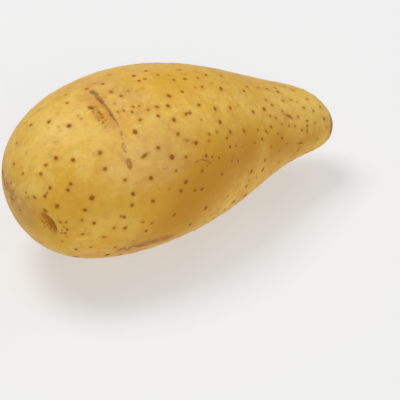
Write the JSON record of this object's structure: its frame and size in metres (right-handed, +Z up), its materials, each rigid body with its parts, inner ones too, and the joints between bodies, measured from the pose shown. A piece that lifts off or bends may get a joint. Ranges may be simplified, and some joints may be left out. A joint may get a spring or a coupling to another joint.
{
  "type": "potato",
  "caption": "Whole pear-shaped potato tuber lying on its side, with a blunt end, a long narrow end and shallow shoot eyes.",
  "frame": {"origin": "middle of the tuber's box in plan, on the surface that it lies on", "axes": "+X along the tuber from the blunt end to the narrow end, +Z up as it lies"},
  "size_m": [0.1242, 0.0636, 0.058],
  "materials": {
    "skin": "thin waxy yellow skin with brown lenticels, satin sheen"
  },
  "bodies": {
    "root": {"potato": "skin"}
  },
  "joints": []
}
